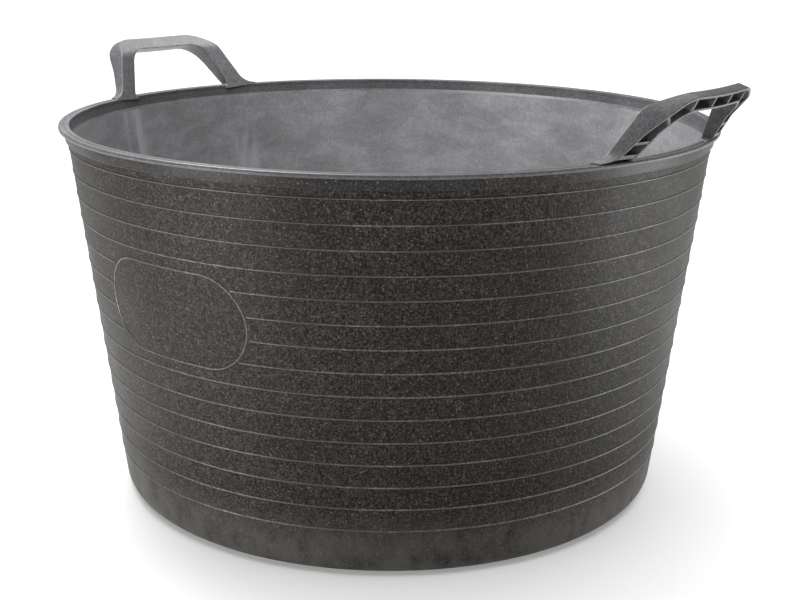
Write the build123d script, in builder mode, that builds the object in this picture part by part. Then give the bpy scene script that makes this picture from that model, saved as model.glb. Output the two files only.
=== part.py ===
"""Flexible mortar mixing tub: a tapered round tub with two bending handles on its rim.

The real tub is one moulding. Each node here is one functional region of that moulding.
Millimetres. The Z axis is the tub's axis, Z = 0 is the ground, and the handles stand on +X and -X.
"""
import os
from math import atan, cos, degrees, radians, sin, tan

from build123d import *

# ---- Driving dimensions of the tub ----
tub_height = 319.0            # ground to the top of the lip
lip_radius = 280.0            # outer edge of the lip
wall_base_radius = 236.3      # outside of the wall, carried down to the ground
wall_flare = 0.119            # radius gained for each millimetre of height
wall_thickness = 4.0
heel_radius = 16.0            # outside of the rounded corner between foot and wall
foot_inner_radius = 196.0
foot_chamfer = 0.5
floor_recess = 1.5            # the middle of the floor stands this far off the ground
floor_thickness = 4.0
gate_radius = 7.0             # stub left by the moulding gate, under the middle of the floor
gate_height = 0.9
gate_taper = 12.0             # degrees

# ---- Rim ----
lip_thickness = 3.5
lip_round = 1.6
neck_height = 8.5             # band between the wall and the lip
neck_step_outside = 2.0       # the band stands out from the wall by this much
neck_step_inside = 1.2        # and leaves a small ledge on the inside
lip_groove_radius = 275.6
lip_groove_width = 1.6
lip_groove_depth = 0.6

# ---- Raised lines on the wall ----
ring_count = 15
ring_spacing = 18.6
first_ring_height = 300.7
bead_width = 1.3
bead_height = 0.6

# ---- Blank label panel, centred on -Y ----
panel_height_above_ground = 198.3
panel_width = 147.0
panel_height = 75.5

# ---- Handle section: radius from the tub's axis and, upwards, height above the top of the lip ----
hinge_radius = 267.0          # the leg roots bend about this line, which runs along the tangent
hinge_height = 2.5
knuckle_radius = 4.5
running_gap = 0.3
inward_bend = 50.0            # how far a handle folds over the tub, in degrees
relief_start = 2.8            # the legs are cut back from here, so that they clear the lip
skin_foot = 272.3             # inner face of a leg, over the inner edge of the lip
skin_knee = 287.0             # where the legs turn outwards into the grip bar
skin_knee_height = 39.5
knee_round = 12.0
skin_tip = 305.5              # top edge of the grip bar
skin_tip_height = 49.3
skin_thickness = 3.0
bar_channel_depth = 9.0       # depth of the open channel at the top edge of the bar
bar_channel_bottom = 309.0    # open edge of the channel, under the bar
bar_channel_bottom_height = 37.0
leg_channel_elbow = 294.0     # open edge of the channel, part way up a leg
leg_channel_elbow_height = 21.0
leg_channel_foot = 282.0      # just past the outer edge of the lip
flange_thickness = 2.4
rib_thickness = 2.2
bar_rib_spacing = 25.0
bar_rib_count = 4
leg_rib_height = 14.0
corner_rib_across = 54.0      # a slanted rib in each corner of the arch passes this point
corner_rib_up = 38.0
corner_rib_slant = 40.0       # degrees
root_plate_thickness = 3.0

# ---- Handle outline, seen along the draw direction of the channel, from the hinge line up ----
draw_angle = 18.0             # the channel opens outwards and this far down
outline_foot_half_width = 80.0
outline_top_half_width = 55.0
outline_corner_round = 31.0
opening_foot_half_width = 60.5
opening_top_half_width = 43.0
opening_top = 45.5
opening_corner_round = 20.0

# ---- Derived sizes ----
wall_lean = atan(wall_flare)
neck_bottom = tub_height - lip_thickness - neck_height
lip_underside = tub_height - lip_thickness
heel_centre = wall_base_radius + wall_flare * heel_radius - heel_radius / cos(wall_lean)
axis_height = tub_height + hinge_height
knuckle_outer_end = outline_foot_half_width - 2.0
knuckle_inner_end = opening_foot_half_width + 2.0
knuckle_length = knuckle_outer_end - knuckle_inner_end
knuckle_middle = (knuckle_outer_end + knuckle_inner_end) / 2


def wall_outside(height):
    """Outer radius of the wall at a height above the ground."""
    return wall_base_radius + wall_flare * height


def wall_inside(height):
    return wall_outside(height) - wall_thickness / cos(wall_lean)


def save(part, name):
    part.label = name
    export_step(part, f"parts/{name}.step")


os.makedirs("parts", exist_ok=True)

# ---- Floor plate: a flat disc with the stub of the moulding gate under its middle ----
with BuildPart() as floor_plate:
    with BuildSketch(Plane.XY.offset(floor_recess)):
        Circle(foot_inner_radius)
    extrude(amount=floor_thickness)
    with BuildSketch(Plane.XY.offset(floor_recess)):
        Circle(gate_radius)
    extrude(amount=-gate_height, taper=gate_taper)
save(floor_plate.part, "floor_plate")

# ---- Foot ring: the flat ring that touches the ground ----
with BuildPart() as foot_ring:
    with BuildSketch(Plane.XZ):
        with BuildLine():
            Polyline(
                (foot_inner_radius, foot_chamfer),
                (foot_inner_radius + foot_chamfer, 0),
                (heel_centre, 0),
                (heel_centre, wall_thickness),
                (foot_inner_radius, wall_thickness),
                close=True,
            )
        make_face()
    revolve(axis=Axis.Z)
save(foot_ring.part, "foot_ring")

# ---- Heel bend: a quarter-round shell, tangent to the foot and to the wall ----
heel_sweep = 90 - degrees(wall_lean)
inner_heel_radius = heel_radius - wall_thickness
heel_end = Vector(cos(wall_lean), -sin(wall_lean))
heel_centre_point = Vector(heel_centre, heel_radius)
wall_foot_outside = heel_centre_point + heel_end * heel_radius
wall_foot_inside = heel_centre_point + heel_end * inner_heel_radius
with BuildPart() as heel_bend:
    with BuildSketch(Plane.XZ):
        with BuildLine():
            CenterArc(heel_centre_point, heel_radius, -90, heel_sweep)
            Line(wall_foot_outside, wall_foot_inside)
            CenterArc(heel_centre_point, inner_heel_radius, -90, heel_sweep)
            Line((heel_centre, wall_thickness), (heel_centre, 0))
        make_face()
    revolve(axis=Axis.Z)
save(heel_bend.part, "heel_bend")

# ---- Side wall: the tapered shell between the heel and the rim ----
with BuildPart() as side_wall:
    with BuildSketch(Plane.XZ):
        with BuildLine():
            Polyline(
                wall_foot_inside,
                wall_foot_outside,
                (wall_outside(neck_bottom), neck_bottom),
                (wall_inside(neck_bottom), neck_bottom),
                close=True,
            )
        make_face()
    revolve(axis=Axis.Z)
save(side_wall.part, "side_wall")

# ---- Rim neck: a band that stands out from the wall under the lip ----
neck_inside = wall_inside(neck_bottom) + neck_step_inside
neck_outside = wall_outside(neck_bottom) + neck_step_outside
neck_gain = wall_flare * neck_height
with BuildPart() as rim_neck:
    with BuildSketch(Plane.XZ):
        with BuildLine():
            Polyline(
                (neck_inside, neck_bottom),
                (neck_outside, neck_bottom),
                (neck_outside + neck_gain, lip_underside),
                (neck_inside + neck_gain, lip_underside),
                close=True,
            )
        make_face()
    revolve(axis=Axis.Z)
save(rim_neck.part, "rim_neck")

# ---- Seats: half-round hollows in the lip, one for each of the four leg roots ----
seat_length = knuckle_length + 2 * running_gap
with BuildPart() as root_seats:
    with GridLocations(2 * hinge_radius, 2 * knuckle_middle, 2, 2):
        with Locations((0, 0, axis_height)):
            Cylinder(knuckle_radius + running_gap, seat_length, rotation=(90, 0, 0))

# ---- Rim lip: a rounded flange with a shallow groove on top and a seat under each leg root ----
lip_inside = neck_inside + neck_gain
with BuildPart() as rim_lip:
    with BuildSketch(Plane.XZ):
        with BuildLine():
            Polyline(
                (lip_inside, lip_underside),
                (lip_radius, lip_underside),
                (lip_radius, tub_height),
                (lip_inside, tub_height),
                close=True,
            )
        lip_face = make_face()
        fillet(lip_face.vertices().group_by(Axis.X)[-1], lip_round)
        with Locations((lip_groove_radius, tub_height)):
            Rectangle(lip_groove_width, 2 * lip_groove_depth, mode=Mode.SUBTRACT)
    revolve(axis=Axis.Z)
    add(root_seats.part, mode=Mode.SUBTRACT)
save(rim_lip.part, "rim_lip")

# ---- Wall rings: thin raised lines around the wall, broken where the label panel is ----
with BuildPart() as wall_rings:
    for ring in range(ring_count):
        ring_height = first_ring_height - ring * ring_spacing
        with BuildSketch(Plane.XZ):
            with BuildLine():
                Polyline(
                    (wall_outside(ring_height - bead_width / 2), ring_height - bead_width / 2),
                    (wall_outside(ring_height) + bead_height, ring_height - bead_width / 6),
                    (wall_outside(ring_height) + bead_height, ring_height + bead_width / 6),
                    (wall_outside(ring_height + bead_width / 2), ring_height + bead_width / 2),
                    close=True,
                )
            make_face()
        revolve(axis=Axis.Z)
    with BuildSketch(Plane.XZ.offset(wall_base_radius / 2)):
        with Locations((0, panel_height_above_ground)):
            SlotOverall(panel_width + 2 * bead_width, panel_height + 2 * bead_width)
    extrude(amount=lip_radius, mode=Mode.SUBTRACT)
save(wall_rings.part, "wall_rings")

# ---- Panel border: the same raised line, around the blank label panel ----
with BuildPart() as panel_border:
    with BuildSketch(Plane.XZ):
        with BuildLine():
            Polyline(
                (wall_outside(0), 0),
                (wall_outside(0) + bead_height, 0),
                (wall_outside(tub_height) + bead_height, tub_height),
                (wall_outside(tub_height), tub_height),
                close=True,
            )
        make_face()
    revolve(axis=Axis.Z)
    with BuildSketch(Plane.XZ.offset(wall_base_radius / 2)):
        with Locations((0, panel_height_above_ground)):
            SlotOverall(panel_width, panel_height)
            SlotOverall(
                panel_width - 2 * bead_width, panel_height - 2 * bead_width, mode=Mode.SUBTRACT
            )
    extrude(amount=lip_radius, mode=Mode.INTERSECT)
save(panel_border.part, "panel_border")


# ---- Handles ----
foot_point = Vector(skin_foot, axis_height)
knee_point = Vector(skin_knee, tub_height + skin_knee_height)
tip_point = Vector(skin_tip, tub_height + skin_tip_height)
draw_direction = Vector(cos(radians(draw_angle)), -sin(radians(draw_angle)))
channel_top_point = tip_point + draw_direction * bar_channel_depth
draw_plane = Plane(
    origin=(hinge_radius, 0, tub_height),
    x_dir=(0, 1, 0),
    z_dir=(draw_direction.X, 0, draw_direction.Y),
)
outline_top = draw_plane.to_local_coords(Vector(tip_point.X, 0, tip_point.Y)).Y
cut_reach = 90.0              # long enough to cut through a whole handle
skirt = 12.0                  # outlines are carried this far below the hinge line before they are cut


def arch_face(foot_half_width, top_half_width, top, corner_round, grow=0.0):
    """A rounded trapezoid on the draw plane, wider at its foot, grown on every side by a margin."""
    spread = (foot_half_width - top_half_width) / top * skirt
    with BuildSketch(draw_plane) as face:
        with BuildLine():
            Polyline(
                (-foot_half_width - spread, -skirt),
                (-top_half_width, top),
                (top_half_width, top),
                (foot_half_width + spread, -skirt),
                close=True,
            )
        make_face()
        fillet(face.vertices().group_by(Axis.Y)[-1], corner_round)
        if grow:
            offset(amount=grow)
    return face.sketch


outer_outline = arch_face(
    outline_foot_half_width, outline_top_half_width, outline_top, outline_corner_round
)
inset_outline = arch_face(
    outline_foot_half_width, outline_top_half_width, outline_top, outline_corner_round, -flange_thickness
)
opening_outline = arch_face(
    opening_foot_half_width, opening_top_half_width, opening_top, opening_corner_round
)
grown_opening = arch_face(
    opening_foot_half_width, opening_top_half_width, opening_top, opening_corner_round, flange_thickness
)

# The whole handle as one block: its section turned about the tub's axis, cut to the outline of the arch.
# The relief under the inner face lets a leg fold inwards without touching the lip.
with BuildPart() as handle_block:
    with BuildSketch(Plane.XZ):
        with BuildLine():
            FilletPolyline(foot_point, knee_point, tip_point, radius=knee_round)
            Polyline(
                tip_point,
                channel_top_point,
                (bar_channel_bottom, tub_height + bar_channel_bottom_height),
                (leg_channel_elbow, tub_height + leg_channel_elbow_height),
                (leg_channel_foot, axis_height),
                foot_point,
            )
        make_face()
    revolve(axis=Axis.Z)
    extrude(outer_outline, amount=cut_reach, both=True, mode=Mode.INTERSECT)
    extrude(opening_outline, amount=cut_reach, both=True, mode=Mode.SUBTRACT)
    with BuildSketch(Plane.XZ):
        with BuildLine():
            Polyline(
                (hinge_radius - relief_start, axis_height),
                (hinge_radius - relief_start - skirt, axis_height),
                (hinge_radius - relief_start - skirt, axis_height + skirt * tan(radians(inward_bend))),
                close=True,
            )
        make_face()
    extrude(amount=cut_reach, both=True, mode=Mode.SUBTRACT)

# A bent sheet, longer than the handle, that holds the skin
lower_end = foot_point + (foot_point - knee_point).normalized() * skirt
upper_end = tip_point + (tip_point - knee_point).normalized() * skirt
with BuildPart() as skin_sheet:
    with BuildSketch(Plane.XZ):
        with BuildLine():
            FilletPolyline(lower_end, knee_point, upper_end, radius=knee_round)
            offset(amount=skin_thickness, side=Side.RIGHT)
        make_face()
    revolve(axis=Axis.Z)

with BuildPart() as grip_skin:
    add(handle_block.part)
    add(skin_sheet.part, mode=Mode.INTERSECT)

with BuildPart() as behind_skin:
    add(handle_block.part)
    add(skin_sheet.part, mode=Mode.SUBTRACT)

with BuildPart() as outer_flange:
    add(behind_skin.part)
    extrude(inset_outline, amount=cut_reach, both=True, mode=Mode.SUBTRACT)

with BuildPart() as inner_flange:
    add(behind_skin.part)
    extrude(grown_opening, amount=cut_reach, both=True, mode=Mode.INTERSECT)

with BuildPart() as channel_space:
    add(behind_skin.part)
    extrude(inset_outline, amount=cut_reach, both=True, mode=Mode.INTERSECT)
    extrude(grown_opening, amount=cut_reach, both=True, mode=Mode.SUBTRACT)

# Slabs across the channel: upright ones along the bar, a slanted one in each corner,
# and level ones on the legs and at their roots
bar_base = tub_height + bar_channel_bottom_height
with BuildPart() as rib_slabs:
    with Locations((skin_knee, 0, bar_base)):
        with GridLocations(0, bar_rib_spacing, 1, bar_rib_count):
            Box(cut_reach, rib_thickness, cut_reach, align=(Align.CENTER, Align.CENTER, Align.MIN))
    with BuildSketch(draw_plane):
        for side in (-1, 1):
            with Locations((side * corner_rib_across, corner_rib_up)):
                Rectangle(2 * skirt, rib_thickness, rotation=side * corner_rib_slant)
    extrude(amount=cut_reach, both=True)
    with Locations((skin_knee, 0, tub_height + leg_rib_height)):
        Box(cut_reach, 2 * cut_reach, rib_thickness)
    with Locations((skin_knee, 0, axis_height)):
        Box(
            cut_reach,
            2 * cut_reach,
            root_plate_thickness,
            align=(Align.CENTER, Align.CENTER, Align.MIN),
        )

with BuildPart() as cross_ribs:
    add(channel_space.part)
    add(rib_slabs.part, mode=Mode.INTERSECT)

# Half-round feet of the legs, centred on the bending line
with BuildPart() as root_knuckles:
    for leg_middle in (-knuckle_middle, knuckle_middle):
        with BuildSketch(Plane.XZ.offset(leg_middle)):
            with Locations((hinge_radius, axis_height)):
                Circle(knuckle_radius)
            with Locations((hinge_radius, axis_height)):
                Rectangle(
                    2 * knuckle_radius,
                    knuckle_radius,
                    align=(Align.CENTER, Align.MIN),
                    mode=Mode.SUBTRACT,
                )
        extrude(amount=knuckle_length / 2, both=True)

handle_parts = {
    "grip_skin": grip_skin.part,
    "outer_flange": outer_flange.part,
    "inner_flange": inner_flange.part,
    "cross_ribs": cross_ribs.part,
    "root_knuckles": root_knuckles.part,
}
for part_name, handle_part in handle_parts.items():
    save(handle_part, f"right_{part_name}")
    save(handle_part.rotate(Axis.Z, 180), f"left_{part_name}")
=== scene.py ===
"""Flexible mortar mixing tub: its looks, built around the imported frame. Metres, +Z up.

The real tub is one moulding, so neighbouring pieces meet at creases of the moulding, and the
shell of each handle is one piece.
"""
import math

import bmesh
import bpy
from mathutils import Matrix, Vector


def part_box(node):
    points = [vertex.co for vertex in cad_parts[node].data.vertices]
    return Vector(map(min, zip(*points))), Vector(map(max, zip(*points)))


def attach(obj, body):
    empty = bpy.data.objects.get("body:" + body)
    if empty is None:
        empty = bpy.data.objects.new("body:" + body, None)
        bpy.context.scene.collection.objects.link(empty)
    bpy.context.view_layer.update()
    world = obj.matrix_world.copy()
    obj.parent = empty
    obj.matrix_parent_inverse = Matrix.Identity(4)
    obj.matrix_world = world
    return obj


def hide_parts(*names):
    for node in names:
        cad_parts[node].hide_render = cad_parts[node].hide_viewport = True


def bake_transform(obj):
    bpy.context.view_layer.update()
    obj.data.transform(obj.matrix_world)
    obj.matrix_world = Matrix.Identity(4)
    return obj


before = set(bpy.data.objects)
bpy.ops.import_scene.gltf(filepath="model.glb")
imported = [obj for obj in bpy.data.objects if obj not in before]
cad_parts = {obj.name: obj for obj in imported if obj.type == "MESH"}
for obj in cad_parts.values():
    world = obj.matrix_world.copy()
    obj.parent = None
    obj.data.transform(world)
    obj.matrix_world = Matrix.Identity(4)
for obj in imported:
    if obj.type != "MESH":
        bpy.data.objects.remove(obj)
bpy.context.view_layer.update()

MM = 0.001

# ---- Places read from the frame ----
LIP_LOW, LIP_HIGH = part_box("rim_lip")
NECK_LOW, NECK_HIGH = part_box("rim_neck")
FLOOR_LOW, FLOOR_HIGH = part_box("floor_plate")
FOOT_LOW, FOOT_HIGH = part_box("foot_ring")
WALL_LOW, WALL_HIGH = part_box("side_wall")
RINGS_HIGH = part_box("wall_rings")[1]
PANEL_LOW, PANEL_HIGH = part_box("panel_border")
LIP_TOP = LIP_HIGH.z
LIP_RADIUS = min(LIP_HIGH.x, LIP_HIGH.y)

# ---- Tub: the same sizes as in the design, and the rounding of its edges ----
WALL_FLARE = 0.119
WALL_BASE_RADIUS = WALL_HIGH.x - WALL_FLARE * WALL_HIGH.z
WALL_THICKNESS = 4.0 * MM
HEEL_RADIUS = 16.0 * MM
RING_COUNT = 15
RING_SPACING = 18.6 * MM
BEAD_WIDTH = 1.3 * MM
BEAD_HEIGHT = 0.55 * MM
BEAD_SINK = 0.5 * MM          # a raised line's foot is this deep in the wall
BEAD_FULLNESS = 0.8           # below 1 the line's section is fuller than half a wave
WALL_LEAN = math.atan(WALL_FLARE)
HEEL_CENTRE = WALL_BASE_RADIUS + WALL_FLARE * HEEL_RADIUS - HEEL_RADIUS / math.cos(WALL_LEAN)
FLOOR_RECESS = 1.5 * MM
GATE_RADIUS = 7.0 * MM
GATE_TAPER = 0.96
FLOOR_ROUND = 0.4 * MM
FOOT_INNER_ROUND = 0.3 * MM
FOOT_OUTER_ROUND = 0.6 * MM
LEDGE_HEIGHT = 2.4 * MM       # the sloping ledge inside the foot of the neck
LEDGE_DEPTH = 1.2 * MM
NECK_ROUND = 0.8 * MM
LIP_LOWER_ROUND = 1.5 * MM
LIP_UPPER_ROUND = 1.6 * MM
LIP_INNER_ROUND = 0.9 * MM
GROOVE_RADIUS = 275.6 * MM
GROOVE_WIDTH = 1.6 * MM
GROOVE_DEPTH = 0.55 * MM
GROOVE_EDGE_ROUND = 0.5 * MM
GROOVE_FLOOR_ROUND = 0.3 * MM
GROOVE_FLOOR_SHARE = 0.6      # width of the groove's floor as a share of its mouth
PANEL_CENTRE = (PANEL_LOW.z + PANEL_HIGH.z) / 2

# ---- Handles: heights are above the top of the lip ----
HINGE_RADIUS = 267.0 * MM
HINGE_HEIGHT = 2.5 * MM
SKIN_FOOT = 272.3 * MM
SKIN_KNEE = 287.0 * MM
SKIN_KNEE_HEIGHT = 39.5 * MM
KNEE_ROUND = 12.0 * MM
SKIN_TIP = 305.5 * MM
SKIN_TIP_HEIGHT = 49.3 * MM
TIP_DROP = 0.55 * MM          # keeps the arched top of the skin inside the design's box
SKIN_THICKNESS = 3.0 * MM
DRAW_ANGLE = math.radians(18.0)
FLANGE = 2.4 * MM
OUTLINE_FOOT = 80.0 * MM      # half widths of the whole arch
OUTLINE_SHOULDER = 55.0 * MM
OUTLINE_CORNER = 31.0 * MM
OPENING_FOOT = 60.5 * MM      # half widths of the finger opening
OPENING_SHOULDER = 43.0 * MM
OPENING_CORNER = 20.0 * MM
OPENING_TOP = 45.5 * MM
CHANNEL_DEEP_FOOT = 3.0 * MM  # the open edge starts this far inside the lip's edge, in the lip
CHANNEL_LIP_FOOT = 1.4 * MM
CHANNEL_HINGE_FOOT = 2.0 * MM
CHANNEL_LEG = (294.0 * MM, 21.0 * MM)
CHANNEL_BAR = (309.0 * MM, 37.0 * MM)
CHANNEL_TIP = (314.1 * MM, 46.5 * MM)
OUTER_FLARE = 10.0 * MM       # radius of the round corner between a leg and the lip
INNER_FLARE = 5.0 * MM
FOOT_DEPTH = -2.0 * MM        # the legs go this far into the lip
LEG_MIDDLE = 71.0 * MM
SKIN_ROUND = 0.9 * MM
EDGE_ROUND = 0.7 * MM
RIB = 2.2 * MM
RIB_OVERLAP = 0.4 * MM        # a rib runs this far into the skin and the flanges
RIB_RECESS = 0.5 * MM         # and ends this far inside the open edge
RIB_ROUND = 0.4 * MM
BAR_RIBS = 4
BAR_RIB_SPACING = 25.0 * MM
LEG_RIB_HEIGHT = 14.0 * MM
CORNER_RIB_ACROSS = 54.0 * MM
CORNER_RIB_UP = 38.0 * MM
CORNER_RIB_SLANT = math.radians(40.0)
CORNER_RIB_REACH = 25.0 * MM  # from a corner rib's point back into the opening
ROOT_PLATE = 3.0 * MM

# ---- How finely the shapes are drawn ----
TURN_STEPS = 288              # facets round the tub
HEEL_STEPS = 20
WALL_STEPS = [step / 24 for step in range(25)]
BEAD_STEPS = 6
PANEL_STEPS = 40
KNEE_STEPS = 8
SIDE_STEPS = 30
SIDE_CROWDING = 1.8           # above 1 the points of a leg crowd towards its flared foot
CORNER_STEPS = 14
TOP_STEPS = 10
FACE_STEPS = 7
RIB_STEPS = 6
LINE_SMOOTH_ANGLE = 60.0
HANDLE_SMOOTH_ANGLE = 50.0
INWARDS_LIMIT = 0.25          # a face that looks in or up by more than this share is inside
PROFILE_OVERRUN = 12.0 * MM   # the skin's profile is carried on this far past both ends
SEARCH_START = -60.0 * MM     # depths between which a profile is searched for
SEARCH_END = 90.0 * MM
SEARCH_TURNS = 40
EDGE_STEP = 0.1 * MM

# ---- Camera and light ----
CAMERA_AZIMUTH = 39.6
CAMERA_PITCH = 15.88
CAMERA_YAW = 0.47
CAMERA_ROLL = 0.42
CAMERA_LENS = 60.6
CAMERA_DISTANCE = 1.167
CAMERA_HEIGHT = 0.4849
WORLD_STRENGTH = 0.16
SKY_STRENGTH = 3.4
SKY_ANGLE = 80.0
SKY_TILT = -14.0
FLOOR_HALF = 60.0
FLOOR_WHITE = 0.90
FLOOR_GLOW = 0.2              # fills the shadow beside the tub

# ---- Textures: how many features to the metre ----
CLOUD_SCALE = 11.0
FINE_GRAIN = 560.0
COARSE_GRAIN = 210.0
LARGE_SPECKS = 520.0
SMALL_SPECKS = 840.0
PIT_SCALE = 900.0
# Painted highlight: the patches of paler colour on the raised lines.
LINE_HIGHLIGHT_SCALE = 14.0
# Painted light: the patches of paler colour towards the heel.
BOUNCE_PATCH_SCALE = (70.0, 70.0, 45.0)
FLOW_SCALE = (24.0, 24.0, 55.0)
STREAK_SCALE = (70.0, 70.0, 6.0)

# ---- Texture sizes and places ----
PIT_DEPTH = 0.15 * MM
# Painted light: the wall is painted paler below this height, fully so at the foot, for the floor's bounce
# light.
BOUNCE_LIGHT_TOP = 65.0 * MM
BOUNCE_LIGHT_FULL = 10.0 * MM
# Painted reflections: pale streaks on the inside wall below each leg of a handle.
STREAK_EDGE = 26.0 * MM       # a streak fades out this far from the middle of a leg
STREAK_CORE = 4.0 * MM
STREAK_LOW = 100.0 * MM
STREAK_HIGH = 280.0 * MM


def wall_outside(height):
    """Outer radius of the wall at a height."""
    return WALL_BASE_RADIUS + WALL_FLARE * height


def wall_inside(height):
    """Inner radius of the wall at a height."""
    return wall_outside(height) - WALL_THICKNESS / math.cos(WALL_LEAN)


NECK_INSIDE = wall_inside(NECK_LOW.z) + LEDGE_DEPTH
OUTLINE_TOP = (
    (SKIN_TIP_HEIGHT - TIP_DROP) * math.cos(DRAW_ANGLE)
    + (SKIN_TIP - HINGE_RADIUS) * math.sin(DRAW_ANGLE)
)


# ---------------------------------------------------------------- materials
def new_material(name):
    material = bpy.data.materials.new(name)
    material.use_nodes = True
    tree = material.node_tree
    shader = tree.nodes["Principled BSDF"]
    return material, tree, shader


def add_node(tree, kind, inputs=None, **settings):
    """A new node; each input is a plain value or the output socket of another node."""
    node = tree.nodes.new(kind)
    for key, value in settings.items():
        setattr(node, key, value)
    for key, value in (inputs or {}).items():
        if isinstance(value, bpy.types.NodeSocket):
            tree.links.new(value, node.inputs[key])
        else:
            node.inputs[key].default_value = value
    return node


def maths(tree, operation, first, second=0.0):
    return add_node(tree, "ShaderNodeMath", {0: first, 1: second}, operation=operation).outputs[0]


def mix_colours(tree, factor, first, second, blend="MIX"):
    """Inputs 6 and 7 and output 2 are the mix node's colours."""
    inputs = {0: factor, 6: first, 7: second}
    return add_node(tree, "ShaderNodeMix", inputs, data_type="RGBA", blend_type=blend).outputs[2]


def spread(tree, value, low, high, out_low=0.0, out_high=1.0):
    """Maps low..high of a value to out_low..out_high, smoothly and within those limits."""
    node = add_node(
        tree,
        "ShaderNodeMapRange",
        {"Value": value, "From Min": low, "From Max": high, "To Min": out_low, "To Max": out_high},
        interpolation_type="SMOOTHSTEP",
    )
    return node.outputs["Result"]


def speckle(tree, place, scale, share, size):
    """Small separate specks: 1 on a speck and 0 between. share is how many cells hold one."""
    cells = add_node(
        tree,
        "ShaderNodeTexVoronoi",
        {"Vector": place, "Scale": scale, "Randomness": 1.0},
        feature="F1",
    )
    near = spread(tree, cells.outputs["Distance"], size, size * 0.55)
    pick = add_node(tree, "ShaderNodeSeparateColor", {"Color": cells.outputs["Color"]})
    chosen = maths(tree, "GREATER_THAN", pick.outputs["Red"], 1.0 - share)
    strength = spread(tree, pick.outputs["Green"], 0.0, 1.0, 0.35, 1.0)
    return maths(tree, "MULTIPLY", maths(tree, "MULTIPLY", near, chosen), strength)


def grain(tree, place, scale, low, high):
    """Fine light and dark grain, as a factor on the colour."""
    noise = add_node(
        tree, "ShaderNodeTexNoise", {"Vector": place, "Scale": scale, "Detail": 2.0, "Roughness": 0.6}
    )
    return spread(tree, noise.outputs["Fac"], 0.34, 0.70, low, high)


def scaled_place(tree, place, scale):
    return add_node(tree, "ShaderNodeMapping", {"Vector": place, "Scale": scale}).outputs["Vector"]


def recycled_plastic(
    name, dark, light, speck, speck_share, rough, bump_strength, contrast=1.0, gloss=0.25
):
    """Charcoal recycled plastic: clouded colour, fine grain, pale specks and a moulded texture."""
    material, tree, shader = new_material(name)
    place = add_node(tree, "ShaderNodeTexCoord").outputs["Object"]
    clouds = add_node(
        tree, "ShaderNodeTexNoise", {"Vector": place, "Scale": CLOUD_SCALE, "Detail": 5.0, "Roughness": 0.6}
    ).outputs["Fac"]
    base = mix_colours(tree, spread(tree, clouds, 0.35, 0.65), (*dark, 1), (*light, 1))
    fine = grain(tree, place, FINE_GRAIN, 1 - 0.75 * contrast, 1 + contrast)
    coarse = grain(tree, place, COARSE_GRAIN, 1 - 0.25 * contrast, 1 + 0.25 * contrast)
    tone = maths(tree, "MULTIPLY", fine, coarse)
    toned = add_node(tree, "ShaderNodeVectorMath", {0: base}, operation="SCALE")
    tree.links.new(tone, toned.inputs["Scale"])
    large = speckle(tree, place, LARGE_SPECKS, speck_share * 0.45, 0.40)
    small = speckle(tree, place, SMALL_SPECKS, speck_share, 0.45)
    large_specks = maths(tree, "MULTIPLY", large, 0.85)
    small_specks = maths(tree, "MULTIPLY", small, 0.6)
    base = mix_colours(tree, large_specks, toned.outputs["Vector"], (*speck, 1))
    base = mix_colours(tree, small_specks, base, (*speck, 1))
    tree.links.new(base, shader.inputs["Base Color"])
    tree.links.new(
        spread(tree, clouds, 0.3, 0.7, rough - 0.05, rough + 0.06), shader.inputs["Roughness"]
    )
    pits = add_node(
        tree, "ShaderNodeTexNoise", {"Vector": place, "Scale": PIT_SCALE, "Detail": 3.0, "Roughness": 0.7}
    ).outputs["Fac"]
    bump = add_node(
        tree, "ShaderNodeBump", {"Strength": bump_strength, "Distance": PIT_DEPTH, "Height": pits}
    )
    tree.links.new(bump.outputs["Normal"], shader.inputs["Normal"])
    shader.inputs["Specular IOR Level"].default_value = gloss
    return material, tree, shader, place, base


def outside_plastic():
    """The wall's plastic, painted paler in patches towards the heel, for the floor's bounce light."""
    material, tree, shader, place, base = recycled_plastic(
        "tub_outside",
        dark=(0.0125, 0.0108, 0.0092),
        light=(0.0185, 0.0162, 0.0140),
        speck=(0.120, 0.112, 0.094),
        speck_share=0.42,
        rough=0.50,
        bump_strength=0.7,
        contrast=1.15,
        gloss=0.12,
    )
    height = add_node(tree, "ShaderNodeSeparateXYZ", {"Vector": place}).outputs["Z"]
    bounce_patches = add_node(
        tree,
        "ShaderNodeTexNoise",
        {"Vector": scaled_place(tree, place, BOUNCE_PATCH_SCALE), "Scale": 1.0, "Detail": 6.0},
    ).outputs["Fac"]
    # Painted light: a paler, patchy colour towards the heel stands in for the light that the floor bounces
    # onto it.
    near_foot = spread(tree, height, BOUNCE_LIGHT_TOP, BOUNCE_LIGHT_FULL)
    painted_bounce_mask = maths(tree, "MULTIPLY", spread(tree, bounce_patches, 0.10, 0.70), near_foot)
    painted_bounce_colour = mix_colours(tree, maths(tree, "MULTIPLY", painted_bounce_mask, 0.8), base, (0.082, 0.078, 0.071, 1))
    tree.links.new(painted_bounce_colour, shader.inputs["Base Color"])
    return material


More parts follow.
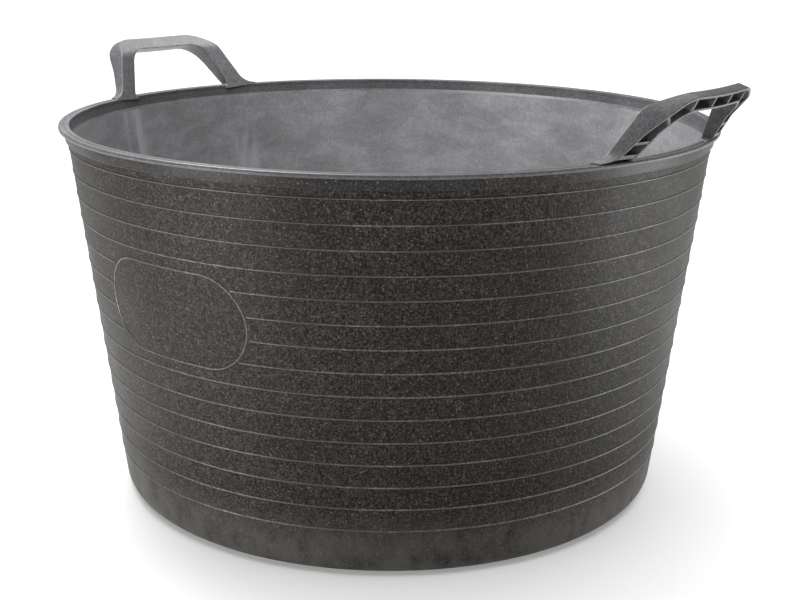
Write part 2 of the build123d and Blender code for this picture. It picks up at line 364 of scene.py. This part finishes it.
def inside_plastic():
    """Smoother, painted paler for its light and sheen; flow marks; painted reflections as pale streaks
    below the handles' legs.
    """
    material, tree, shader, place, base = recycled_plastic(
        "tub_inside_painted_paler",
        # Painted light: the same plastic as the outside, painted many times paler for the light and sheen
        # on the inside.
        dark=(0.185, 0.184, 0.190),
        light=(0.225, 0.223, 0.230),
        speck=(0.33, 0.33, 0.33),
        speck_share=0.04,
        rough=0.38,
        bump_strength=0.3,
        contrast=0.16,
    )
    axes = add_node(tree, "ShaderNodeSeparateXYZ", {"Vector": place})
    # Painted reflection: pale streaks on the inside wall below each leg, for the lights reflected there.
    off_middle = maths(tree, "ABSOLUTE", axes.outputs["Y"])
    off_leg = maths(tree, "ABSOLUTE", maths(tree, "SUBTRACT", off_middle, LEG_MIDDLE))
    below_leg = spread(tree, off_leg, STREAK_EDGE, STREAK_CORE)
    streaks = add_node(
        tree,
        "ShaderNodeTexNoise",
        {"Vector": scaled_place(tree, place, STREAK_SCALE), "Scale": 1.0, "Detail": 4.0},
    ).outputs["Fac"]
    pale = maths(tree, "MULTIPLY", below_leg, spread(tree, streaks, 0.40, 0.66))
    pale = maths(tree, "MULTIPLY", pale, spread(tree, axes.outputs["Z"], STREAK_LOW, STREAK_HIGH))
    flow = add_node(
        tree,
        "ShaderNodeTexNoise",
        {
            "Vector": scaled_place(tree, place, FLOW_SCALE),
            "Scale": 1.0,
            "Detail": 5.0,
            "Roughness": 0.65,
            "Distortion": 0.5,
        },
    ).outputs["Fac"]
    marked = mix_colours(
        tree, spread(tree, flow, 0.38, 0.64), (0.88, 0.88, 0.88, 1), (1.12, 1.12, 1.12, 1)
    )
    base = mix_colours(tree, 1.0, base, marked, "MULTIPLY")
    # Painted reflection: the pale colour of the streaks.
    base = mix_colours(tree, maths(tree, "MULTIPLY", pale, 0.7), base, (0.36, 0.36, 0.39, 1))
    tree.links.new(base, shader.inputs["Base Color"])
    return material


def line_plastic():
    """The raised lines: the same plastic, painted paler in patches for the highlights their crests catch.
    """
    material, tree, shader, place, base = recycled_plastic(
        "raised_line",
        # Painted highlight: the lines' colour is several times paler than the wall's, for the light their
        # crests catch.
        dark=(0.045, 0.043, 0.040),
        light=(0.082, 0.080, 0.075),
        speck=(0.14, 0.13, 0.11),
        speck_share=0.12,
        rough=0.34,
        bump_strength=0.3,
        gloss=0.8,
    )
    highlight_patches = add_node(
        tree, "ShaderNodeTexNoise", {"Vector": place, "Scale": LINE_HIGHLIGHT_SCALE, "Detail": 4.0, "Roughness": 0.6}
    ).outputs["Fac"]
    # Painted highlight: patches of the paler colour, the rest near the wall's own colour.
    painted_highlight_colour = mix_colours(tree, spread(tree, highlight_patches, 0.30, 0.62), (0.019, 0.0175, 0.0155, 1), base)
    tree.links.new(painted_highlight_colour, shader.inputs["Base Color"])
    return material


def handle_plastic():
    """Grey, smoother and plainer than the wall."""
    return recycled_plastic(
        "handle_plastic",
        dark=(0.066, 0.066, 0.069),
        light=(0.094, 0.094, 0.098),
        speck=(0.16, 0.16, 0.16),
        speck_share=0.08,
        rough=0.40,
        bump_strength=0.35,
        contrast=0.3,
    )[0]


def rim_plastic():
    """The dark band under the lip, smoother than the wall."""
    return recycled_plastic(
        "rim_plastic",
        dark=(0.016, 0.0145, 0.0130),
        light=(0.024, 0.0220, 0.0200),
        speck=(0.15, 0.145, 0.13),
        speck_share=0.18,
        rough=0.40,
        bump_strength=0.4,
        contrast=0.7,
        gloss=0.14,
    )[0]


OUTSIDE = outside_plastic()
INSIDE = inside_plastic()
LINE = line_plastic()
HANDLE = handle_plastic()
RIM = rim_plastic()


# ---------------------------------------------------------------- mesh helpers
def curve_point(start, corner, end, t):
    """A point at share t of the curve that leaves start and reaches end, bent by the corner."""
    return start * (1 - t) ** 2 + corner * 2 * t * (1 - t) + end * t * t


def rounded(corners, steps=4):
    """A closed outline of (point, radius) corners, with each corner of some radius made a curve."""
    points = []
    for index, (corner, radius) in enumerate(corners):
        here = Vector(corner)
        if radius <= 0:
            points.append(here)
            continue
        before = Vector(corners[index - 1][0]) - here
        after = Vector(corners[(index + 1) % len(corners)][0]) - here
        reach = radius * math.tan((math.pi - before.angle(after)) / 2)
        start = here + before.normalized() * min(reach, before.length * 0.49)
        end = here + after.normalized() * min(reach, after.length * 0.49)
        points += [curve_point(start, here, end, step / steps) for step in range(steps + 1)]
    return points


def mesh_object(name, vertices, faces, material, smooth_angle=40.0):
    mesh = bpy.data.meshes.new(name)
    mesh.from_pydata(vertices, [], faces)
    mesh.materials.append(material)
    shape = bmesh.new()
    shape.from_mesh(mesh)
    bmesh.ops.recalc_face_normals(shape, faces=shape.faces)
    shape.to_mesh(mesh)
    shape.free()
    mesh.polygons.foreach_set("use_smooth", [True] * len(mesh.polygons))
    mesh.set_sharp_from_angle(angle=math.radians(smooth_angle))
    piece = bpy.data.objects.new(name, mesh)
    bpy.context.scene.collection.objects.link(piece)
    return piece


def loft(sections, closed):
    """Vertices and faces that join sections of equally many points; open ends get a cap each."""
    count = len(sections[0])
    vertices = [point for section in sections for point in section]
    faces = []
    spans = len(sections) if closed else len(sections) - 1
    for span in range(spans):
        this = span * count
        following = (span + 1) % len(sections) * count
        for i in range(count):
            j = (i + 1) % count
            faces.append((this + i, this + j, following + j, following + i))
    if not closed:
        faces.append(tuple(range(count)))
        faces.append(tuple(range(len(vertices) - count, len(vertices))))
    return vertices, faces


def joined(solids):
    """Vertices and faces of several solids, as one list of each."""
    vertices = []
    faces = []
    for solid_vertices, solid_faces in solids:
        start = len(vertices)
        vertices += solid_vertices
        faces += [tuple(start + index for index in face) for face in solid_faces]
    return vertices, faces


def turned(name, outline, material):
    """A closed (radius, height) outline turned about the tub's axis."""
    sections = []
    for step in range(TURN_STEPS):
        angle = 2 * math.pi * step / TURN_STEPS
        sections.append([(p.x * math.cos(angle), p.x * math.sin(angle), p.y) for p in outline])
    return mesh_object(name, *loft(sections, closed=True), material)


def second_material(piece, material, chosen):
    """Gives the faces that chosen(polygon) picks another material."""
    piece.data.materials.append(material)
    for polygon in piece.data.polygons:
        if chosen(polygon):
            polygon.material_index = 1


def looks_inwards(polygon):
    """True for a face on the inside of the tub: it looks towards the axis, or up from the floor."""
    flat = Vector((polygon.center.x, polygon.center.y))
    towards_axis = -(flat.x * polygon.normal.x + flat.y * polygon.normal.y)
    return towards_axis + flat.length * polygon.normal.z > INWARDS_LIMIT * flat.length


def on_tub(piece, slot, *nodes):
    """Makes a piece part of the tub's body, in place of its CAD nodes."""
    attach(piece, "tub")
    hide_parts(*nodes)


# ---------------------------------------------------------------- floor, foot, heel and wall
def floor_plate():
    """A flat disc with the stub of the moulding gate under its middle."""
    radius = FLOOR_HIGH.x
    underside = FOOT_LOW.z + FLOOR_RECESS
    outline = rounded(
        [
            ((0.0, FLOOR_HIGH.z), 0),
            ((radius * 0.5, FLOOR_HIGH.z), 0),
            ((radius, FLOOR_HIGH.z), FLOOR_ROUND),
            ((radius, underside), FLOOR_ROUND),
            ((radius * 0.5, underside), 0),
            ((GATE_RADIUS, underside), 0.2 * MM),
            ((GATE_RADIUS * GATE_TAPER, FLOOR_LOW.z), 0.3 * MM),
            ((0.0, FLOOR_LOW.z), 0),
        ]
    )
    piece = turned("tub_floor", outline, OUTSIDE)
    shape = bmesh.new()
    shape.from_mesh(piece.data)
    bmesh.ops.remove_doubles(shape, verts=shape.verts, dist=0.001 * MM)
    shape.to_mesh(piece.data)
    shape.free()
    second_material(piece, INSIDE, looks_inwards)
    on_tub(piece, "tub_plastic", "floor_plate")


def foot_ring():
    """The flat ring that touches the ground."""
    inner = FLOOR_HIGH.x
    outer = HEEL_CENTRE
    outline = rounded(
        [
            ((inner, FOOT_HIGH.z), FOOT_INNER_ROUND),
            ((inner, FOOT_LOW.z), FOOT_OUTER_ROUND),
            ((outer, FOOT_LOW.z), 0),
            ((outer, FOOT_HIGH.z), 0),
        ]
    )
    piece = turned("tub_foot", outline, OUTSIDE)
    second_material(piece, INSIDE, looks_inwards)
    on_tub(piece, "tub_plastic", "foot_ring")


def heel_bend():
    """A quarter-round shell between the foot and the wall."""
    centre = Vector((HEEL_CENTRE, HEEL_RADIUS))
    sweep = math.pi / 2 - WALL_LEAN
    directions = []
    for step in range(HEEL_STEPS + 1):
        angle = -math.pi / 2 + sweep * step / HEEL_STEPS
        directions.append(Vector((math.cos(angle), math.sin(angle))))
    outside = [centre + d * HEEL_RADIUS for d in directions]
    inside = [centre + d * (HEEL_RADIUS - WALL_THICKNESS) for d in reversed(directions)]
    piece = turned("tub_heel", outside + inside, OUTSIDE)
    second_material(piece, INSIDE, looks_inwards)
    on_tub(piece, "tub_plastic", "heel_bend")


def side_wall():
    """The tapered shell."""
    foot_outside = Vector((wall_outside(WALL_LOW.z), WALL_LOW.z))
    through = Vector((-math.cos(WALL_LEAN), math.sin(WALL_LEAN))) * WALL_THICKNESS
    outside = [foot_outside.lerp(Vector((WALL_HIGH.x, WALL_HIGH.z)), t) for t in WALL_STEPS]
    top_inside = Vector((wall_inside(WALL_HIGH.z), WALL_HIGH.z))
    inside = [top_inside.lerp(foot_outside + through, t) for t in WALL_STEPS]
    piece = turned("tub_wall", outside + inside, OUTSIDE)
    second_material(piece, INSIDE, looks_inwards)
    on_tub(piece, "tub_plastic", "side_wall")


# ---------------------------------------------------------------- rim
def rim_neck():
    """A band that stands out from the wall under the lip, and leaves a small ledge inside."""
    gain = WALL_FLARE * (NECK_HIGH.z - NECK_LOW.z)
    outer = NECK_HIGH.x
    outline = rounded(
        [
            ((wall_inside(NECK_LOW.z), NECK_LOW.z), 0),
            ((outer - gain, NECK_LOW.z), NECK_ROUND),
            ((outer, NECK_HIGH.z), 0),
            ((NECK_INSIDE + gain, NECK_HIGH.z), 0),
            ((NECK_INSIDE + LEDGE_HEIGHT * WALL_FLARE, NECK_LOW.z + LEDGE_HEIGHT), NECK_ROUND),
        ]
    )
    piece = turned("tub_neck", outline, RIM)
    second_material(piece, HANDLE, looks_inwards)
    on_tub(piece, "tub_plastic", "rim_neck")


def rim_lip():
    """A rounded flange with a shallow groove round its top."""
    inner = NECK_INSIDE + WALL_FLARE * (NECK_HIGH.z - NECK_LOW.z)
    half_groove = 0.5 * GROOVE_WIDTH
    half_floor = GROOVE_FLOOR_SHARE * half_groove
    groove_floor = LIP_TOP - GROOVE_DEPTH
    outline = rounded(
        [
            ((inner, LIP_LOW.z), 0),
            ((LIP_RADIUS, LIP_LOW.z), LIP_LOWER_ROUND),
            ((LIP_RADIUS, LIP_TOP), LIP_UPPER_ROUND),
            ((GROOVE_RADIUS + half_groove, LIP_TOP), GROOVE_EDGE_ROUND),
            ((GROOVE_RADIUS + half_floor, groove_floor), GROOVE_FLOOR_ROUND),
            ((GROOVE_RADIUS - half_floor, groove_floor), GROOVE_FLOOR_ROUND),
            ((GROOVE_RADIUS - half_groove, LIP_TOP), GROOVE_EDGE_ROUND),
            ((inner, LIP_TOP), LIP_INNER_ROUND),
        ]
    )
    on_tub(turned("tub_lip", outline, HANDLE), "tub_plastic", "rim_lip")


# ---------------------------------------------------------------- raised lines
def bead_section(place, outwards, along_wall):
    """The rounded section of a raised line, which is sunk a little into the wall."""
    points = [place - along_wall * BEAD_WIDTH / 2 - outwards * BEAD_SINK]
    for step in range(BEAD_STEPS + 1):
        t = step / BEAD_STEPS
        sideways = along_wall * BEAD_WIDTH * (t - 0.5)
        rise = BEAD_HEIGHT * math.sin(math.pi * t) ** BEAD_FULLNESS
        points.append(place + sideways + outwards * rise)
    points.append(place + along_wall * BEAD_WIDTH / 2 - outwards * BEAD_SINK)
    return points


def wall_frame(angle, height):
    """A point on the outside of the wall, with the directions out of the wall and up along it."""
    round_about = Vector((math.cos(angle), math.sin(angle), 0.0))
    up = Vector((0.0, 0.0, 1.0))
    place = round_about * wall_outside(height) + up * height
    outwards = round_about * math.cos(WALL_LEAN) - up * math.sin(WALL_LEAN)
    along_wall = round_about * math.sin(WALL_LEAN) + up * math.cos(WALL_LEAN)
    return place, outwards, along_wall


def panel_gap(height):
    """Half the angle that a line at this height leaves free for the panel, or zero."""
    round_end = PANEL_HIGH.z - PANEL_CENTRE + BEAD_WIDTH
    offset = abs(height - PANEL_CENTRE)
    if offset >= round_end:
        return 0.0
    half_width = PANEL_HIGH.x + BEAD_WIDTH - round_end + math.sqrt(round_end**2 - offset**2)
    return math.asin(half_width / wall_outside(height))


def wall_rings():
    """Fifteen thin lines round the wall, broken where the label panel is."""
    rings = []
    for ring in range(RING_COUNT):
        height = RINGS_HIGH.z - BEAD_WIDTH / 2 - ring * RING_SPACING
        gap = panel_gap(height)
        steps = TURN_STEPS if gap else TURN_STEPS - 1
        sections = []
        for step in range(steps + 1):
            angle = -math.pi / 2 + gap + (2 * math.pi - 2 * gap) * step / (steps if gap else steps + 1)
            place, outwards, along_wall = wall_frame(angle, height)
            sections.append(bead_section(place, outwards, along_wall))
        rings.append(loft(sections, closed=not gap))
    piece = mesh_object("level_lines", *joined(rings), LINE, LINE_SMOOTH_ANGLE)
    on_tub(piece, "raised_lines", "wall_rings")


def panel_border():
    """The same raised line round the blank label panel, which has half-round ends."""
    end_radius = PANEL_HIGH.z - PANEL_CENTRE - BEAD_WIDTH / 2
    straight = PANEL_HIGH.x - BEAD_WIDTH / 2 - end_radius
    flat_path = []
    for side in (1, -1):
        for step in range(PANEL_STEPS):
            x = side * (straight - 2 * straight * step / PANEL_STEPS)
            flat_path.append(Vector((-x, -side * end_radius)))
        for step in range(PANEL_STEPS):
            turn = math.pi * step / PANEL_STEPS
            x = straight + end_radius * math.sin(turn)
            flat_path.append(Vector((side * x, -side * end_radius * math.cos(turn))))
    points = []
    for spot in flat_path:
        height = PANEL_CENTRE + spot.y
        angle = -math.pi / 2 + math.asin(spot.x / wall_outside(height))
        points.append(wall_frame(angle, height)[:2])
    sections = []
    for index, (place, outwards) in enumerate(points):
        along = points[(index + 1) % len(points)][0] - points[index - 1][0]
        sections.append(bead_section(place, outwards, outwards.cross(along).normalized()))
    piece = mesh_object("panel_outline", *loft(sections, closed=True), LINE, LINE_SMOOTH_ANGLE)
    on_tub(piece, "raised_lines", "panel_border")


# ---------------------------------------------------------------- handles
class Arch:
    """Half of a rounded trapezoid (y across, w up the draw plane) whose foot flares into the rim.

    The flare is a round corner against the lip: outwards if its radius is positive, else inwards.
    """

    def __init__(self, foot, top_half, top, corner, flare, grow=0.0):
        self.slope = (foot - top_half) / top
        self.foot = foot + grow * math.hypot(1, self.slope)
        self.top = top + grow
        self.corner = corner + grow
        self.flare = flare
        side_angle = math.atan(self.slope)
        tangent = self.corner * math.tan((math.pi / 2 - side_angle) / 2)
        corner_y = self.foot - self.slope * self.top
        self.arc_angle = side_angle
        self.centre_y = corner_y - tangent
        self.centre_w = self.top - self.corner
        self.side_top = self.top - tangent * math.cos(side_angle)

    def half_width(self, w, lip_w=0.0):
        """Half width of the straight side at w, with the flare where it meets the lip at lip_w."""
        share = min(max(1 - (w - lip_w) / abs(self.flare), 0.0), 1.0)
        return self.foot - self.slope * w + self.flare * (1 - math.sqrt(1 - share**2))

    def edge(self, start, direction):
        """Where a line from inside the arch leaves it, to a tenth of a millimetre."""
        y, w = start
        while self.holds(y, w):
            y += direction[0] * EDGE_STEP
            w += direction[1] * EDGE_STEP
        return y, w

    def holds(self, y, w):
        if w <= self.side_top:
            return abs(y) <= self.half_width(w)
        if abs(y) <= self.centre_y:
            return w <= self.top
        return math.hypot(abs(y) - self.centre_y, w - self.centre_w) <= self.corner

    def path(self, foot_w):
        """Points from foot_w up one side, round the corner and to the middle of the top."""
        points = []
        for step in range(SIDE_STEPS):
            w = foot_w + (self.side_top - foot_w) * (step / SIDE_STEPS) ** SIDE_CROWDING
            points.append((self.half_width(w, foot_w - FOOT_DEPTH), w))
        for step in range(CORNER_STEPS):
            angle = self.arc_angle + (math.pi / 2 - self.arc_angle) * step / CORNER_STEPS
            y = self.centre_y + self.corner * math.cos(angle)
            points.append((y, self.centre_w + self.corner * math.sin(angle)))
        for step in range(TOP_STEPS + 1):
            points.append((self.centre_y * (1 - step / TOP_STEPS), self.top))
        return points

    def whole_path(self, foot_w):
        half = self.path(foot_w)
        return half + [(-y, w) for y, w in reversed(half[:-1])]


def profile_radius(profile, height):
    """Radius of a (radius, height above the lip) profile, carried on straight past its ends."""
    last = len(profile) - 2
    for index in range(last + 1):
        (r0, h0), (r1, h1) = profile[index], profile[index + 1]
        if height <= h1 or index == last:
            return r0 + (r1 - r0) * (height - h0) / (h1 - h0)


def skin_profile(depth):
    """Inner face of a handle, with a round knee; depth is the distance behind that face."""
    foot = Vector((SKIN_FOOT, HINGE_HEIGHT))
    knee = Vector((SKIN_KNEE, SKIN_KNEE_HEIGHT))
    tip = Vector((SKIN_TIP, SKIN_TIP_HEIGHT))
    lower = (knee - foot).normalized()
    upper = (tip - knee).normalized()
    reach = KNEE_ROUND * math.tan(lower.angle(upper) / 2)
    points = [foot - lower * PROFILE_OVERRUN]
    directions = [lower]
    start = knee - lower * reach
    end = knee + upper * reach
    for step in range(KNEE_STEPS + 1):
        t = step / KNEE_STEPS
        points.append(curve_point(start, knee, end, t))
        directions.append(lower.slerp(upper, t))
    points.append(tip + upper * PROFILE_OVERRUN)
    directions.append(upper)
    behind = [Vector((d.y, -d.x)) * depth for d in directions]
    return [tuple(point + offset) for point, offset in zip(points, behind)]


SKIN = skin_profile(0.0)
SKIN_BACK = skin_profile(SKIN_THICKNESS)
OPEN_EDGE = [
    (LIP_RADIUS - CHANNEL_DEEP_FOOT, FOOT_DEPTH),
    (LIP_RADIUS - CHANNEL_LIP_FOOT, 0.0),
    (LIP_RADIUS + CHANNEL_HINGE_FOOT, HINGE_HEIGHT),
    CHANNEL_LEG,
    CHANNEL_BAR,
    CHANNEL_TIP,
]


def on_draw_plane(y, w, depth):
    """A point at depth behind the draw plane, in the right handle's own place on +X."""
    x = HINGE_RADIUS + w * math.sin(DRAW_ANGLE) + depth * math.cos(DRAW_ANGLE)
    return Vector((x, y, LIP_TOP + w * math.cos(DRAW_ANGLE) - depth * math.sin(DRAW_ANGLE)))


def on_profile(profile, y, w, lifted=0.0):
    """Where the line behind (y, w) meets a profile turned about the tub's axis."""
    low = SEARCH_START
    high = SEARCH_END
    for _ in range(SEARCH_TURNS):
        middle = (low + high) / 2
        point = on_draw_plane(y, w, middle)
        if math.hypot(point.x, y) < profile_radius(profile, point.z - LIP_TOP):
            low = middle
        else:
            high = middle
    return on_draw_plane(y, w, low + lifted)


def foot_w(profile):
    """The w at which a profile reaches the buried foot of a leg."""
    radius = profile_radius(profile, FOOT_DEPTH)
    x = math.sqrt(radius**2 - LEG_MIDDLE**2)
    return FOOT_DEPTH * math.cos(DRAW_ANGLE) + (x - HINGE_RADIUS) * math.sin(DRAW_ANGLE)


OUTLINE_SIZES = (OUTLINE_FOOT, OUTLINE_SHOULDER, OUTLINE_TOP, OUTLINE_CORNER, OUTER_FLARE)
OPENING_SIZES = (OPENING_FOOT, OPENING_SHOULDER, OPENING_TOP, OPENING_CORNER, -INNER_FLARE)
OUTLINE = Arch(*OUTLINE_SIZES)
OUTLINE_INSET = Arch(*OUTLINE_SIZES, -FLANGE)
OPENING = Arch(*OPENING_SIZES)
OPENING_GROWN = Arch(*OPENING_SIZES, FLANGE)


def points_between(profile, first, second):
    """Points on a profile between two places (y, w), ends left out."""
    points = []
    for step in range(1, FACE_STEPS):
        t = step / FACE_STEPS
        y = first[0] + (second[0] - first[0]) * t
        w = first[1] + (second[1] - first[1]) * t
        points.append(on_profile(profile, y, w))
    return points


def handle_shell(side):
    """The arch of one handle: a smooth inner face and a channel that opens outwards behind it."""
    arches = {
        "outline": OUTLINE,
        "inset": OUTLINE_INSET,
        "opening": OPENING,
        "grown": OPENING_GROWN,
    }
    profiles = {"skin": SKIN, "back": SKIN_BACK, "edge": OPEN_EDGE}
    paths = {}
    for arch_name, arch in arches.items():
        for depth, profile in profiles.items():
            paths[arch_name, depth] = arch.whole_path(foot_w(profile))
    sections = []
    for index in range(len(paths["outline", "skin"])):
        spot = {key: path[index] for key, path in paths.items()}
        corners = [(on_profile(SKIN, *spot["opening", "skin"]), SKIN_ROUND)]
        front = points_between(SKIN, spot["opening", "skin"], spot["outline", "skin"])
        corners += [(p, 0) for p in front]
        corners += [
            (on_profile(SKIN, *spot["outline", "skin"]), SKIN_ROUND),
            (on_profile(OPEN_EDGE, *spot["outline", "edge"]), EDGE_ROUND),
            (on_profile(OPEN_EDGE, *spot["inset", "edge"]), EDGE_ROUND),
            (on_profile(SKIN_BACK, *spot["inset", "back"]), SKIN_ROUND),
        ]
        back = points_between(SKIN_BACK, spot["inset", "back"], spot["grown", "back"])
        corners += [(p, 0) for p in back]
        corners += [
            (on_profile(SKIN_BACK, *spot["grown", "back"]), SKIN_ROUND),
            (on_profile(OPEN_EDGE, *spot["grown", "edge"]), EDGE_ROUND),
            (on_profile(OPEN_EDGE, *spot["opening", "edge"]), EDGE_ROUND),
        ]
        sections.append(rounded(corners, steps=3))
    piece = mesh_object(f"{side}_handle_shell", *loft(sections, closed=False), HANDLE, HANDLE_SMOOTH_ANGLE)
    nodes = [f"{side}_{part}" for part in ("grip_skin", "outer_flange", "inner_flange", "root_knuckles")]
    on_handle(piece, side, *nodes)


def crossing_rib(start, direction):
    """A rib across the channel, on a line from inside the opening."""
    near = OPENING_GROWN.edge(start, direction)
    far = OUTLINE_INSET.edge(start, direction)
    length = math.hypot(far[0] - near[0], far[1] - near[1])
    sideways = (-direction[1] * RIB / 2, direction[0] * RIB / 2)
    sections = []
    for step in range(RIB_STEPS + 1):
        along = -RIB_OVERLAP + (length + 2 * RIB_OVERLAP) * step / RIB_STEPS
        y = near[0] + direction[0] * along
        w = near[1] + direction[1] * along
        corners = []
        for side, profile, shift in (
            (1, SKIN_BACK, -RIB_OVERLAP),
            (1, OPEN_EDGE, -RIB_RECESS),
            (-1, OPEN_EDGE, -RIB_RECESS),
            (-1, SKIN_BACK, -RIB_OVERLAP),
        ):
            place = on_profile(profile, y + side * sideways[0], w + side * sideways[1], shift)
            corners.append((place, RIB_ROUND))
        sections.append(rounded(corners, steps=2))
    return loft(sections, closed=False)


def level_rib(side_of_arch, height, thickness):
    """A rib across a leg's channel, or the plate at its root."""
    sections = []
    for step in range(RIB_STEPS + 1):
        t = step / RIB_STEPS
        corners = []
        for edge_height, profile, shift in (
            (height, SKIN_BACK, -RIB_OVERLAP),
            (height, OPEN_EDGE, -RIB_RECESS),
            (height + thickness, OPEN_EDGE, -RIB_RECESS),
            (height + thickness, SKIN_BACK, -RIB_OVERLAP),
        ):
            radius = profile_radius(profile, edge_height) + shift
            rough_x = math.sqrt(radius**2 - LEG_MIDDLE**2)
            rise = edge_height * math.cos(DRAW_ANGLE)
            lip_w = (rough_x - HINGE_RADIUS) * math.sin(DRAW_ANGLE)
            inner = OPENING_GROWN.half_width(lip_w + rise, lip_w) - RIB_OVERLAP
            outer = OUTLINE_INSET.half_width(lip_w + rise, lip_w) + RIB_OVERLAP
            y = inner + (outer - inner) * t
            x = math.sqrt(radius**2 - y**2)
            corners.append((Vector((x, side_of_arch * y, LIP_TOP + edge_height)), RIB_ROUND))
        sections.append(rounded(corners, steps=2))
    return loft(sections, closed=False)


def handle_ribs(side):
    """The thin ribs that cross the channel."""
    solids = []
    for rib in range(BAR_RIBS):
        y = (rib - (BAR_RIBS - 1) / 2) * BAR_RIB_SPACING
        solids.append(crossing_rib((y, OPENING_TOP / 2), (0.0, 1.0)))
    slant = (math.cos(CORNER_RIB_SLANT), math.sin(CORNER_RIB_SLANT))
    for side_of_arch in (-1, 1):
        y = side_of_arch * (CORNER_RIB_ACROSS - CORNER_RIB_REACH * slant[0])
        start = (y, CORNER_RIB_UP - CORNER_RIB_REACH * slant[1])
        solids.append(crossing_rib(start, (side_of_arch * slant[0], slant[1])))
        solids.append(level_rib(side_of_arch, LEG_RIB_HEIGHT - RIB / 2, RIB))
        solids.append(level_rib(side_of_arch, HINGE_HEIGHT, ROOT_PLATE))
    piece = mesh_object(f"{side}_handle_ribs", *joined(solids), HANDLE, HANDLE_SMOOTH_ANGLE)
    on_handle(piece, side, f"{side}_cross_ribs")


def on_handle(piece, side, *nodes):
    """Turns a piece made for the right handle into place for its side, and hides the CAD nodes it stands
    for.
    """
    if side == "left":
        piece.data.transform(Matrix.Rotation(math.pi, 4, "Z"))
    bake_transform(piece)
    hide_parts(*nodes)


# ---------------------------------------------------------------- set, light and camera
def stage_floor():
    """The plain white ground, which glows a little so that the shadow on it stays faint."""
    mesh = bpy.data.meshes.new("floor")
    half = FLOOR_HALF
    corners = [(-half, -half, 0), (half, -half, 0), (half, half, 0), (-half, half, 0)]
    mesh.from_pydata(corners, [], [(0, 1, 2, 3)])
    material, _, shader = new_material("pale_floor")
    shader.inputs["Base Color"].default_value = (FLOOR_WHITE, FLOOR_WHITE, FLOOR_WHITE, 1)
    shader.inputs["Emission Color"].default_value = (1.0, 1.0, 1.0, 1)
    shader.inputs["Emission Strength"].default_value = FLOOR_GLOW
    shader.inputs["Roughness"].default_value = 0.9
    mesh.materials.append(material)
    floor = bpy.data.objects.new("floor", mesh)
    bpy.context.scene.collection.objects.link(floor)


def white_world():
    world = bpy.data.worlds.new("studio")
    world.use_nodes = True
    background = world.node_tree.nodes["Background"]
    background.inputs["Color"].default_value = (1.0, 1.0, 1.0, 1)
    background.inputs["Strength"].default_value = WORLD_STRENGTH
    bpy.context.scene.world = world


def softbox(name, azimuth, reach, height, width, length, power):
    """A rectangular light that is aimed at the tub's middle; azimuth 0 is in front, on -Y."""
    light = bpy.data.lights.new(name, "AREA")
    light.shape = "RECTANGLE"
    light.size = width
    light.size_y = length
    light.energy = power
    lamp = bpy.data.objects.new(name, light)
    bpy.context.scene.collection.objects.link(lamp)
    turn = math.radians(azimuth)
    lamp.location = Vector((math.sin(turn) * reach, -math.cos(turn) * reach, height))
    outwards = lamp.location - Vector((0, 0, LIP_TOP * 0.6))
    lamp.rotation_euler = outwards.to_track_quat("Z", "Y").to_euler()
    lamp.visible_camera = False


def overhead_light():
    """A very soft light from above and a little behind, which makes the pale floor even."""
    light = bpy.data.lights.new("overhead", "SUN")
    light.energy = SKY_STRENGTH
    light.angle = math.radians(SKY_ANGLE)
    lamp = bpy.data.objects.new("overhead", light)
    bpy.context.scene.collection.objects.link(lamp)
    lamp.rotation_euler = (math.radians(SKY_TILT), 0, math.radians(CAMERA_AZIMUTH))


def camera():
    """The viewpoint: in front and to the right, a little above the rim, aimed slightly down."""
    turn, pitch = math.radians(CAMERA_AZIMUTH), math.radians(CAMERA_PITCH)
    yaw, roll = math.radians(CAMERA_YAW), math.radians(CAMERA_ROLL)
    heading = turn - yaw
    level = Vector((-math.sin(heading), math.cos(heading), 0))
    forward = level * math.cos(pitch) - Vector((0, 0, math.sin(pitch)))
    right = Vector((math.cos(heading), math.sin(heading), 0))
    up = right.cross(forward)
    rolled_right = right * math.cos(roll) + up * math.sin(roll)
    rolled_up = up * math.cos(roll) - right * math.sin(roll)
    data = bpy.data.cameras.new("camera")
    data.lens = CAMERA_LENS
    data.sensor_width = 36.0
    viewer = bpy.data.objects.new("camera", data)
    bpy.context.scene.collection.objects.link(viewer)
    place = Vector((math.sin(turn), -math.cos(turn), 0)) * CAMERA_DISTANCE
    place.z = CAMERA_HEIGHT
    axes = Matrix((rolled_right, rolled_up, -forward)).transposed()
    viewer.matrix_world = Matrix.Translation(place) @ axes.to_4x4()
    bpy.context.scene.camera = viewer


floor_plate()
foot_ring()
heel_bend()
side_wall()
rim_neck()
rim_lip()
wall_rings()
panel_border()
for handle_side in ("left", "right"):
    handle_shell(handle_side)
    handle_ribs(handle_side)

stage_floor()
white_world()
overhead_light()
softbox(
    "inside_softbox",
    azimuth=CAMERA_AZIMUTH - 108,
    reach=0.28,
    height=0.80,
    width=0.3,
    length=0.3,
    power=8.5,
)
for light_side, light_turn, light_power in (("left", -52, 7.0), ("right", 80, 6.0)):
    softbox(
        f"low_{light_side}_softbox",
        azimuth=CAMERA_AZIMUTH + light_turn,
        reach=0.95,
        height=0.04,
        width=0.5,
        length=0.25,
        power=light_power,
    )
camera()
bpy.context.scene.view_settings.view_transform = "Standard"
